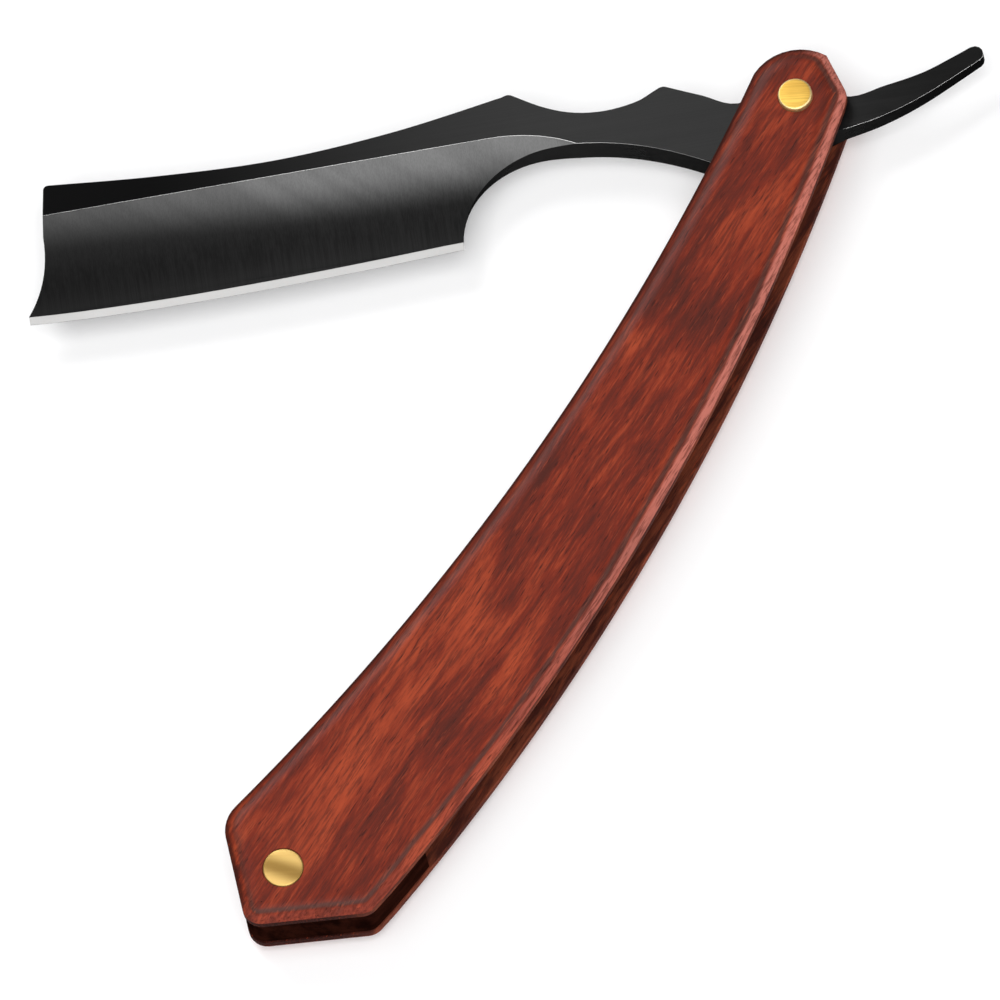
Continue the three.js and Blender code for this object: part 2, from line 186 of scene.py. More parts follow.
def start_shaping(piece, kind):
    """Opens the piece in edit mode with nothing selected; kind is VERT, EDGE or FACE."""
    choose(piece)
    bpy.ops.object.mode_set(mode="EDIT")
    bpy.ops.mesh.select_mode(type=kind)
    bpy.ops.mesh.select_all(action="DESELECT")


def stop_shaping():
    bpy.ops.object.mode_set(mode="OBJECT")


def select_faces(piece, wanted):
    mesh = bmesh.from_edit_mesh(piece.data)
    for face in mesh.faces:
        face.select_set(bool(wanted(face)))
    mesh.select_flush_mode()
    bmesh.update_edit_mesh(piece.data)


def select_edges(piece, wanted):
    mesh = bmesh.from_edit_mesh(piece.data)
    for edge in mesh.edges:
        edge.select_set(bool(wanted(edge)))
    mesh.select_flush_mode()
    bmesh.update_edit_mesh(piece.data)


def bend(edge):
    """The angle between an edge's two faces, or 0 on an open edge."""
    return edge.calc_face_angle() if len(edge.link_faces) == 2 else 0


def middle(edge):
    return (edge.verts[0].co + edge.verts[1].co) / 2


def is_whole(face):
    """True for the face that fills an outline, and not for the small faces along it."""
    return len(face.verts) > 8


def welded_copy(node, name):
    """A new piece from a CAD node's shape, with its loose triangles joined into whole faces."""
    piece = bpy.data.objects.new(name, frame["nodes"][node].data.copy())
    piece.data.name = name
    piece.data.materials.clear()
    bpy.context.scene.collection.objects.link(piece)
    start_shaping(piece, "FACE")
    bpy.ops.mesh.select_all(action="SELECT")
    bpy.ops.mesh.remove_doubles(threshold=0.02 * MM)
    bpy.ops.mesh.dissolve_limited(angle_limit=radians(0.15))
    stop_shaping()
    return piece


def apply_modifier(piece, kind, **settings):
    choose(piece)
    modifier = piece.modifiers.new(kind.title(), kind)
    for name, value in settings.items():
        setattr(modifier, name, value)
    bpy.ops.object.modifier_apply(modifier=modifier.name)


def smooth(piece, sharp_from):
    """Smooth shading that keeps edges sharper than the angle, with broad flats left flat."""
    choose(piece)
    bpy.ops.object.shade_smooth_by_angle(angle=sharp_from)
    apply_modifier(piece, "WEIGHTED_NORMAL", keep_sharp=True, weight=90)


def bore(piece, centre, radius, low, high):
    """Cuts a round hole or seat through the piece along Z."""
    bpy.ops.object.select_all(action="DESELECT")
    place = (centre.x, centre.y, (low + high) / 2)
    bpy.ops.mesh.primitive_cylinder_add(vertices=96, radius=radius, depth=high - low, location=place)
    drill = bpy.context.object
    apply_modifier(piece, "BOOLEAN", operation="DIFFERENCE", solver="EXACT", object=drill)
    bpy.data.objects.remove(drill)


def finish_piece(piece, body, slot, *nodes):
    """Puts the piece's place into its mesh and lets it ride on its body in place of its nodes."""
    choose(piece)
    bpy.ops.object.transform_apply(location=True, rotation=True, scale=True)
    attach(piece, body)
    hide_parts(*nodes)


# ---- Material tools ------------------------------------------------------------------------------


class Wiring:
    """Adds nodes to one tree: `add` takes a node's type, its settings, and what feeds its sockets."""

    def __init__(self, tree):
        self.tree = tree

    def add(self, kind, feeds=(), **settings):
        node = self.tree.nodes.new(kind)
        for name, value in settings.items():
            setattr(node, name, value)
        for socket, source in dict(feeds).items():
            self.feed(node.inputs[socket], source)
        return node

    def feed(self, socket, source):
        if isinstance(source, bpy.types.NodeSocket):
            self.tree.links.new(source, socket)
        else:
            socket.default_value = source

    def math(self, operation, first, second=0.0):
        return self.add("ShaderNodeMath", {0: first, 1: second}, operation=operation).outputs[0]

    def mix(self, factor, first, second, blend="MIX"):
        node = self.add("ShaderNodeMix", {0: factor, 6: first, 7: second},
                        data_type="RGBA", blend_type=blend)
        return node.outputs[2]

    def steps(self, value, low, high, to_low=0.0, to_high=1.0):
        """Eases from to_low to to_high as value goes from low to high."""
        node = self.add("ShaderNodeMapRange", {0: value, 1: low, 2: high, 3: to_low, 4: to_high},
                        interpolation_type="SMOOTHSTEP")
        return node.outputs[0]

    def noise(self, place, scale=1.0, detail=2.0, roughness=0.5, distortion=0.0):
        feeds = {"Vector": place, "Scale": scale, "Detail": detail,
                 "Roughness": roughness, "Distortion": distortion}
        return self.add("ShaderNodeTexNoise", feeds).outputs["Fac"]

    def stretched(self, place, scale, turn=0.0):
        feeds = {"Vector": place, "Scale": scale, "Rotation": (0, 0, turn)}
        return self.add("ShaderNodeMapping", feeds).outputs[0]

    def turned(self, place, angle):
        """The place turned about Z, at its own scale."""
        return self.stretched(place, (1, 1, 1), turn=angle)

    def split(self, place):
        """The place's x, y and z."""
        return self.add("ShaderNodeSeparateXYZ", {0: place}).outputs

    def place(self):
        return self.add("ShaderNodeTexCoord").outputs["Object"]

    def bump(self, height, strength, distance):
        return self.add("ShaderNodeBump", {"Height": height, "Strength": strength,
                                           "Distance": distance}).outputs[0]


def new_group(name, inputs, outputs):
    """An empty node group with the given sockets, its wiring, and its input and output nodes."""
    group = bpy.data.node_groups.new(name, "ShaderNodeTree")
    kinds = {"vector": "NodeSocketVector", "value": "NodeSocketFloat", "colour": "NodeSocketColor"}
    for socket, kind in inputs.items():
        group.interface.new_socket(socket, in_out="INPUT", socket_type=kinds[kind])
    for socket, kind in outputs.items():
        group.interface.new_socket(socket, in_out="OUTPUT", socket_type=kinds[kind])
    wiring = Wiring(group)
    return group, wiring, wiring.add("NodeGroupInput").outputs, wiring.add("NodeGroupOutput").inputs


def group_once(name, make):
    return bpy.data.node_groups.get(name) or make(name)


def brushing_group(name):
    """Fine parallel scratches. Place is in the piece's own direction, with the scratches along its x."""
    group, wires, given, result = new_group(
        name, {"Place": "vector", "Fineness": "value"}, {"Lines": "value", "Clouds": "value"})
    scaled = wires.add("ShaderNodeVectorMath", {0: given["Place"], 3: given["Fineness"]},
                       operation="SCALE").outputs[0]
    broad = wires.noise(wires.stretched(scaled, (8, 1500, 1500)), detail=3, roughness=0.6)
    fine = wires.noise(wires.stretched(scaled, (30, 7000, 7000)), detail=2, roughness=0.7)
    wires.feed(result["Lines"], wires.math("ADD", wires.math("MULTIPLY", broad, 0.4),
                                           wires.math("MULTIPLY", fine, 0.6)))
    wires.feed(result["Clouds"], wires.noise(given["Place"], scale=170, detail=2, roughness=0.4))
    return group


def smudge_group(name):
    """Faint handling marks, as a value about 0 that is added to a roughness."""
    group, wires, given, result = new_group(
        name, {"Place": "vector", "Amount": "value"}, {"Roughness": "value"})
    clouds = wires.noise(given["Place"], scale=95, detail=5, roughness=0.6, distortion=0.4)
    wires.feed(result["Roughness"], wires.math("MULTIPLY", wires.math("SUBTRACT", clouds, 0.5),
                                               given["Amount"]))
    return group


def grain_group(name):
    """Straight wood grain along X: broad streaks, fibres, and short dark pores."""
    group, wires, given, result = new_group(
        name, {"Place": "vector"},
        {"Streaks": "value", "Patches": "value", "Fibres": "value", "Pores": "value"})
    drift = wires.noise(wires.stretched(given["Place"], (14, 30, 60)), detail=2)
    shove = wires.add("ShaderNodeCombineXYZ", {1: wires.math("MULTIPLY", drift, 5 * MM)}).outputs[0]
    place = wires.add("ShaderNodeVectorMath", {0: given["Place"], 1: shove},
                      operation="ADD").outputs[0]
    wires.feed(result["Streaks"], wires.noise(wires.stretched(place, (75, 520, 300)),
                                              detail=6, roughness=0.62))
    wires.feed(result["Patches"], wires.noise(wires.stretched(place, (34, 115, 90)),
                                              detail=4, roughness=0.55, distortion=0.7))
    wires.feed(result["Fibres"], wires.noise(wires.stretched(place, (220, 2600, 2600)),
                                             detail=3, roughness=0.7))
    pores = wires.noise(wires.stretched(place, (330, 2900, 2900)), detail=2, roughness=0.5)
    wires.feed(result["Pores"], wires.steps(pores, 0.60, 0.72))
    return group


def new_material(name):
    material = bpy.data.materials.new(name)
    material.use_nodes = True
    material.node_tree.nodes.clear()
    wires = Wiring(material.node_tree)
    shader = wires.add("ShaderNodeBsdfPrincipled")
    wires.add("ShaderNodeOutputMaterial", {"Surface": shader.outputs[0]})
    return material, wires, shader.inputs


def put_group(wires, name, make, feeds):
    return wires.add("ShaderNodeGroup", feeds, node_tree=group_once(name, make)).outputs


def opaque(rgb):
    return (*rgb, 1.0)


# ---- Materials -----------------------------------------------------------------------------------

PORE_BROWN = (0.02, 0.007, 0.006, 1)
OILED_DARK = (0.006, 0.0016, 0.001, 1)
OILED_LIGHT = (0.02, 0.005, 0.003, 1)
OILED_PORE = (0.004, 0.002, 0.002, 1)
FLOOR_CLOUD = (0.8, 0.8, 0.8, 1)
FINISHES = {}


def material_once(make, colours):
    """Each finish is made once and shared by the pieces that wear it."""
    if make not in FINISHES:
        FINISHES[make] = make(colours)
    return FINISHES[make]


def side_share(wires, split):
    """0 on the concave side of the scales and 1 on the convex side; split is the place's x, y and z."""
    share = wires.math("DIVIDE", split[0], FAR_RIVET.x)
    bow = wires.math("MULTIPLY", wires.math("MULTIPLY", share, wires.math("SUBTRACT", 1.0, share)),
                     4 * SCALE_BOW)
    return wires.steps(wires.math("SUBTRACT", split[1], bow), -3 * MM, 3 * MM)


def scale_wood(colours):
    """Layered red hardwood under lacquer: the crown cuts through its veneers, which show as bands."""
    material, wires, shader = new_material("lacquered_rosewood")
    place = wires.place()
    grain = put_group(wires, "wood_grain", grain_group, {"Place": place})
    split = wires.split(place)
    height = wires.math("ABSOLUTE", wires.math("SUBTRACT", split[2], MIDDLE_Z))
    # Depth under the outer face in millimetres, made uneven by the waviness of the veneers.
    depth = wires.math("MULTIPLY", wires.math("SUBTRACT", HALF_HANDLE, height), 1 / MM)
    wave = wires.math("MULTIPLY", wires.math("SUBTRACT", grain["Patches"], 0.5), 0.16)
    ripple = wires.math("MULTIPLY", wires.math("SUBTRACT", grain["Streaks"], 0.5), 0.16)
    layer = wires.math("ADD", depth, wires.math("ADD", wave, ripple))
    # Field: dark to red to orange, by patches and streaks, brighter towards the far end.
    figure = wires.math("ADD", wires.math("MULTIPLY", grain["Patches"], 0.5),
                        wires.math("MULTIPLY", grain["Streaks"], 0.5))
    brighter = wires.steps(split[0], 0.3 * FRONT_HIGH.x, FRONT_HIGH.x, -0.01, 0.035)
    field = wires.add("ShaderNodeValToRGB", {0: wires.math("ADD", figure, brighter)})
    stops = field.color_ramp.elements
    stops[0].position, stops[0].color = 0.36, opaque(colours.wood_dark)
    stops[1].position, stops[1].color = 0.64, opaque(colours.wood_orange)
    stops.new(0.49).color = opaque(colours.wood_red)
    shaded = field.outputs[0]
    # Veneers that the crown lays bare, from the flat to the arris.
    grey = wires.math("MULTIPLY", wires.steps(layer, 0.05, 0.17), wires.steps(layer, 0.36, 0.22))
    pink = wires.math("MULTIPLY", wires.steps(layer, 0.24, 0.46), wires.steps(depth, 1.42, 1.2))
    # The pink band darkens towards the far end. It is partly veneer and partly a painted highlight:
    # bright on the convex side, dimmed on the concave side, where the grey band is weaker too.
    convex = side_share(wires, split)
    darker = wires.steps(split[0], 0.3 * FAR_RIVET.x, 0.92 * FAR_RIVET.x, 0.85, 0.12)
    fade = wires.math("MULTIPLY", darker, wires.steps(convex, 0, 1, 0.12, 1.0))
    greyed = wires.math("MULTIPLY", grey, wires.steps(convex, 0, 1, 0.45, 0.85))
    banded = wires.mix(greyed, shaded, opaque(colours.veneer_grey))
    banded = wires.mix(wires.math("MULTIPLY", pink, fade), banded, opaque(colours.pink_veneer_and_sheen))
    # Painted shade: the crown of the concave side is darkened with the end-grain colour.
    concave_painted_shade = wires.math("MULTIPLY", wires.steps(layer, 0.3, 0.75), wires.steps(convex, 0, 1, 0.8, 0.0))
    banded = wires.mix(concave_painted_shade, banded, opaque(colours.end_grain_and_shade))
    # The side walls are darker, and the end grain darkest.
    streaked = wires.mix(wires.steps(grain["Streaks"], 0.4, 0.62), opaque(colours.wall_dark),
                         opaque(colours.wall_light))
    is_end = wires.steps(split[0], FRONT_HIGH.x - 11 * MM, FRONT_HIGH.x - 7 * MM)
    streaked = wires.mix(is_end, streaked, opaque(colours.end_grain_and_shade))
    is_wall = wires.steps(depth, 1.25, 1.4)
    walled = wires.mix(is_wall, banded, streaked)
    fibred = wires.mix(wires.steps(grain["Fibres"], 0.56, 0.36, 0.0, 0.6), walled,
                       opaque(colours.wood_dark))
    fibred = wires.mix(wires.steps(grain["Fibres"], 0.55, 0.72, 0.0, 0.5), fibred,
                       opaque(colours.wood_orange), blend="LIGHTEN")
    pored = wires.mix(wires.math("MULTIPLY", grain["Pores"], 0.6), fibred, PORE_BROWN)
    wires.feed(shader["Base Color"], pored)
    smudges = put_group(wires, "smudges", smudge_group, {"Place": place, "Amount": 0.14})
    # The lacquer is thick on the flat, and rubbed thin over the crown and walls.
    is_worn = wires.steps(depth, 0.02, 0.5)
    wires.feed(shader["Roughness"], wires.math("ADD", smudges[0],
                                               wires.steps(is_worn, 0, 1, 0.42, 0.75)))
    relief = wires.math("SUBTRACT", wires.math("MULTIPLY", grain["Fibres"], 0.5), grain["Pores"])
    wires.feed(shader["Normal"], wires.bump(relief, 0.35, 0.03 * MM))
    wires.feed(shader["Coat Weight"], wires.steps(is_worn, 0, 1, 0.14, 0.0))
    shader["Specular IOR Level"].default_value = 0.05
    shader["Coat Roughness"].default_value = 0.25
    return material


def wedge_wood(colours):
    """Dark hardwood, sawn along the grain and oiled."""
    material, wires, shader = new_material("dark_hardwood")
    place = wires.place()
    grain = put_group(wires, "wood_grain", grain_group, {"Place": place})
    base = wires.mix(wires.steps(grain["Streaks"], 0.35, 0.65), OILED_DARK, OILED_LIGHT)
    pores = wires.math("MULTIPLY", grain["Pores"], 0.7)
    wires.feed(shader["Base Color"], wires.mix(pores, base, OILED_PORE))
    smudges = put_group(wires, "smudges", smudge_group, {"Place": place, "Amount": 0.2})
    wires.feed(shader["Roughness"], wires.math("ADD", smudges[0], 0.55))
    wires.feed(shader["Normal"], wires.bump(grain["Fibres"], 0.3, 0.03 * MM))
    shader["Specular IOR Level"].default_value = 0.0
    return material


def steel(name, base, roughness, lines_across, fineness, relief, variation):
    """Steel with fine scratches across or along the blade; base is a colour or a function of wires."""
    material, wires, shader = new_material(name)
    place = wires.place()
    direction = OPENING + (pi / 2 if lines_across else 0)
    own = wires.turned(place, direction)
    brushing = put_group(wires, "fine_brushing", brushing_group, {"Place": own, "Fineness": fineness})
    plain = base(wires, place) if callable(base) else opaque(base)
    darker = wires.mix(1.0, plain, (1 - variation,) * 3 + (1,), blend="MULTIPLY")
    wires.feed(shader["Base Color"], wires.mix(wires.steps(brushing["Lines"], 0.62, 0.38),
                                               plain, darker))
    shader["Metallic"].default_value = 1
    shader["Specular Tint"].default_value = (0.3, 0.3, 0.3, 1)
    smudges = put_group(wires, "smudges", smudge_group, {"Place": place, "Amount": 0.06})
    rough = wires.steps(brushing["Lines"], 0.35, 0.65, roughness - 0.05, roughness + 0.05)
    wires.feed(shader["Roughness"], wires.math("ADD", smudges[0], rough))
    wires.feed(shader["Normal"], wires.bump(brushing["Lines"], relief, 0.02 * MM))
    return material


def coated_steel(colours):
    """Black coating, a little lighter over the tang, fading out towards the nose and to less than half
    beyond the pivot.
    """
    def lighter_over_tang(wires, place):
        along = wires.split(wires.turned(place, OPENING))[0]
        lighter_share = wires.math("MULTIPLY", wires.steps(along, 104 * MM, 28 * MM),
                            wires.steps(along, -25 * MM, 6 * MM, 0.42, 1.0))
        return wires.mix(lighter_share, opaque(colours.coating), opaque(colours.coating_lighter))
    return steel("black_coated_steel", lighter_over_tang, roughness=0.4, lines_across=False, fineness=1.0,
                 relief=0.03, variation=0.1)


def ground_steel(colours):
    """The hollow: bare grey steel where the wheel ran out under the spine, partly a painted reflection
    there; dark below.
    """
    def ground_and_sheen(wires, place):
        own = wires.split(wires.turned(place, OPENING))
        along, across = own[0], own[1]
        # The bare band and its painted reflection narrow and fade towards the nose, and the dark part
        # is painted darker there as painted shade.
        fade_start, fade_end = 60 * MM, 122 * MM
        reach = wires.math("ADD", across, wires.steps(along, fade_start, fade_end, 0, 3.2 * MM))
        bare_and_sheen = wires.math("MULTIPLY", wires.steps(reach, 6.3 * MM, -1.6 * MM),
                          wires.steps(along, fade_end, fade_start, 0.36, 1.0))
        bands = wires.noise(wires.stretched(place, (300, 12, 12), turn=OPENING), detail=2)
        uneven = wires.math("MULTIPLY", bare_and_sheen, wires.steps(bands, 0.3, 0.7, 0.82, 1.1))
        shade = wires.mix(wires.steps(along, fade_start, fade_end, 0.0, 0.4),
                          opaque(colours.hollow_dark), opaque(colours.coating))
        return wires.mix(uneven, shade, opaque(colours.ground_and_sheen))
    return steel("ground_hollow_steel", ground_and_sheen, roughness=0.36, lines_across=True, fineness=1.0,
                 relief=0.1, variation=0.24)


def honed_steel(colours):
    """The bright strip that the stone leaves along the edge."""
    return steel("honed_bright_steel", colours.honed, roughness=0.5, lines_across=True, fineness=1.5,
                 relief=0.03, variation=0.06)


def worn_steel(colours):
    """Arrises where handling has taken the coating off."""
    return steel("worn_bare_steel", colours.worn, roughness=0.42, lines_across=False, fineness=1.5,
                 relief=0.03, variation=0.15)


def rivet_brass(colours):
    """Brass with straight brushed lines, a little tarnish, painted highlights on the pivot rims and a
    painted reflection band.
    """
    material, wires, shader = new_material("brushed_brass")
    place = wires.place()
    own = wires.turned(place, radians(58))
    brushing = put_group(wires, "fine_brushing", brushing_group, {"Place": own, "Fineness": 0.7})
    dulling = (0.72, 0.62, 0.5)
    tarnish = opaque(tuple(channel * share for channel, share in zip(colours.brass, dulling)))
    dulled = wires.mix(wires.steps(brushing["Clouds"], 0.4, 0.66, 0.0, 0.6), opaque(colours.brass),
                       tarnish)
    lined = wires.mix(wires.steps(brushing["Lines"], 0.58, 0.4, 0.0, 0.9), dulled, tarnish)
    # Painted highlight: both pivot heads are painted pale around the rim, as where the rounded rim
    # catches light.
    from_pivot = wires.add("ShaderNodeVectorMath", {0: wires.stretched(place, (1, 1, 0))},
                           operation="LENGTH").outputs["Value"]
    lined = wires.mix(wires.steps(from_pivot, 2.3 * MM, 2.5 * MM, 0.0, 0.7), lined,
                      opaque(colours.brass_rim_highlight))
    # The far rivet is satin, with hardly any lines; the soft dark band across it is a painted reflection
    # on its domed face.
    split = wires.split(place)
    is_far = wires.steps(split[0], 0.4 * FAR_RIVET.x, 0.8 * FAR_RIVET.x)
    centred = wires.add("ShaderNodeVectorMath", {0: place, 1: FAR_RIVET},
                        operation="SUBTRACT").outputs[0]
    across = wires.split(wires.turned(centred, radians(80)))[1]
    band = wires.math("ABSOLUTE", wires.math("SUBTRACT", across, 0.3 * MM))
    satin = wires.mix(wires.steps(band, 0.2 * MM, 2.4 * MM), opaque(colours.satin_reflection_band),
                      opaque(colours.satin_light))
    wires.feed(shader["Base Color"], wires.mix(is_far, lined, satin))
    shader["Metallic"].default_value = 1
    wires.feed(shader["Roughness"], wires.steps(brushing["Lines"], 0.35, 0.65, 0.44, 0.58))
    wires.feed(shader["Normal"], wires.bump(brushing["Lines"], 0.25, 0.02 * MM))
    return material


# ---- Pieces --------------------------------------------------------------------------------------


class RAZOR_OT_blade(bpy.types.Operator):
    """Grinds and finishes the blade: soft spine and tang edges, worn arrises, hollow and honed edge"""
    bl_idname = "razor.blade"
    bl_label = "Blade"

    def execute(self, context):
        sizes, colours = context.scene.razor_sizes, context.scene.razor_colours
        blade = welded_copy("blade", "razor_blade")
        for make in (coated_steel, ground_steel, honed_steel, worn_steel):
            blade.data.materials.append(material_once(make, colours))
        self.assign_finishes(blade)
        start_shaping(blade, "EDGE")
        select_edges(blade, self.is_worn_arris)
        bpy.ops.mesh.bevel(offset=sizes.worn_edge, segments=1, affect="EDGES", material=WORN,
                           clamp_overlap=True)
        select_edges(blade, self.is_soft_edge)
        bpy.ops.mesh.bevel(offset=sizes.steel_edge, segments=2, affect="EDGES", clamp_overlap=True)
        stop_shaping()
        smooth(blade, radians(40))
        finish_piece(blade, "blade", "blade_steel", "blade")
        return {"FINISHED"}

    def assign_finishes(self, blade):
        """Coated steel everywhere, ground steel in the hollow, honed steel along the edge."""
        for face in blade.data.polygons:
            place, normal = along_blade(face.center), along_blade(face.normal)
            height = abs(face.center.z - MIDDLE_Z)
            faces_up = abs(normal.z) > 0.8
            in_hollow = place.x > HOLLOW_START and faces_up and height < HALF_STEEL - 0.02 * MM
            honed = in_hollow and normal.y > 0.1 and height < 0.2 * MM
            face.material_index = HONED if honed else GROUND if in_hollow else COATED

    @staticmethod
    def is_worn_arris(edge):
        """The upper limit of the hollow, and the arrises under the tang and tail."""
        if bend(edge) < radians(8):
            return False
        flats = [face for face in edge.link_faces if abs(face.normal.z) > 0.985]
        others = [face for face in edge.link_faces if face not in flats]
        if len(flats) != 1 or abs(middle(edge).z - MIDDLE_Z) < 0.4 * MM:
            return False
        faces_edge = along_blade(others[0].normal).y > 0.25
        in_hollow = abs(others[0].normal.z) > 0.5
        return faces_edge and (in_hollow or along_blade(middle(edge)).x < TANG_END)

    @staticmethod
    def is_soft_edge(edge):
        """The other outline edges of the thick steel."""
        thick = abs(middle(edge).z - MIDDLE_Z) > 0.8 * MM
        worn = any(face.material_index == WORN for face in edge.link_faces)
        return bend(edge) > SHARP_BEND and thick and not worn


class RAZOR_OT_scales(bpy.types.Operator):
    """Shapes both scales from their shared outline: wall, crowned border, rivet seats and bores"""
    bl_idname = "razor.scales"
    bl_label = "Scales"

    def execute(self, context):
        sizes, colours = context.scene.razor_sizes, context.scene.razor_colours
        for node, outward in (("front_scale", 1), ("back_scale", -1)):
            scale = self.flat_blank(node, outward)
            self.raise_crown(scale, outward, sizes)
            self.drill(scale, outward, sizes)
            self.break_inner_edge(scale, outward, sizes)
            smooth(scale, radians(38))
            scale.data.materials.append(material_once(scale_wood, colours))
            finish_piece(scale, "handle", "scale_wood", node)
        return {"FINISHED"}

    def flat_blank(self, node, outward):
        """One flat face with the scale's outline, at its inner side."""
        blank = welded_copy(node, node + "_wood")
        start_shaping(blank, "FACE")
        select_faces(blank, lambda face: face.normal.z * outward > -0.99)
        bpy.ops.mesh.delete(type="FACE")
        bpy.ops.mesh.select_mode(type="EDGE")
        for rivet in (PIVOT, FAR_RIVET):
            select_edges(blank, lambda edge: edge.is_boundary and
                         (middle(edge) - rivet).xy.length < HOLE_REACH)
            bpy.ops.mesh.edge_face_add()
        bpy.ops.mesh.select_mode(type="FACE")
        bpy.ops.mesh.select_all(action="SELECT")
        bpy.ops.mesh.dissolve_faces()
        bpy.ops.mesh.select_all(action="SELECT")
        bpy.ops.mesh.normals_make_consistent(inside=False)
        stop_shaping()
        return blank

    def raise_crown(self, scale, outward, sizes):
        """Extrudes the wall, then steps the outer face in and up along a quarter ellipse."""
        wall = SCALE_THICKNESS - sizes.crown_depth
        above_inner_face = HALF_HANDLE - sizes.crown_depth - 0.1 * MM
        corner_weld = 0.12 * MM
        rings = 9
        start_shaping(scale, "FACE")
        bpy.ops.mesh.select_all(action="SELECT")
        bpy.ops.mesh.extrude_region_move(
            TRANSFORM_OT_translate={"value": (0, 0, outward * wall)})
        select_faces(scale, lambda face: is_whole(face) and
                     abs(face.calc_center_median().z - MIDDLE_Z) > above_inner_face)
        for ring in range(rings):
            here, there = (ring * pi / 2 / rings, (ring + 1) * pi / 2 / rings)
            width = sizes.crown_width * (cos(here) - cos(there))
            rise = sizes.crown_depth * (sin(there) - sin(here))
            bpy.ops.mesh.inset(thickness=width, depth=0, use_even_offset=True)
            bpy.ops.transform.translate(value=(0, 0, outward * rise))
            # Arcs that shrink to a corner are joined there, so no ring crosses itself.
            bpy.ops.mesh.remove_doubles(threshold=corner_weld)
        bpy.ops.mesh.select_all(action="SELECT")
        bpy.ops.mesh.normals_make_consistent(inside=False)
        stop_shaping()

    def drill(self, scale, outward, sizes):
        """A bore and a shallow seat for each rivet, from the sizes of the rivets themselves."""
        side = "front" if outward > 0 else "back"
        face = MIDDLE_Z + outward * HALF_HANDLE
        outside = face + outward * SCALE_THICKNESS
        for rivet, centre in (("pivot_rivet", PIVOT), ("far_rivet", FAR_RIVET)):
            low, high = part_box(f"{rivet}_{side}")
            seat = (high.x - low.x) / 2 + sizes.seat_slack
            bore(scale, centre, seat, *sorted((face - outward * sizes.head_sink, outside)))
            bore(scale, centre, sizes.tube_radius + sizes.seat_slack,
                 *sorted((face - outward * 1.5 * SCALE_THICKNESS, outside)))

    def break_inner_edge(self, scale, outward, sizes):
        inner = MIDDLE_Z + outward * (HALF_HANDLE - SCALE_THICKNESS)
        start_shaping(scale, "EDGE")
        select_edges(scale, lambda edge: bend(edge) > radians(60) and
                     abs(middle(edge).z - inner) < 0.01 * MM)
        bpy.ops.mesh.bevel(offset=sizes.wood_edge, segments=2, affect="EDGES", clamp_overlap=True)
        stop_shaping()


class RAZOR_OT_wedge(bpy.types.Operator):
    """Finishes the wedge between the scales at the far end"""
    bl_idname = "razor.wedge"
    bl_label = "Wedge"

    def execute(self, context):
        sizes, colours = context.scene.razor_sizes, context.scene.razor_colours
        wedge = welded_copy("wedge", "far_end_wedge")
        start_shaping(wedge, "EDGE")
        select_edges(wedge, lambda edge: bend(edge) > SHARP_BEND)
        bpy.ops.mesh.bevel(offset=sizes.wood_edge, segments=2, affect="EDGES", clamp_overlap=True)
        stop_shaping()
        smooth(wedge, radians(38))
        wedge.data.materials.append(material_once(wedge_wood, colours))
        finish_piece(wedge, "handle", "wedge_wood", "wedge")
        return {"FINISHED"}


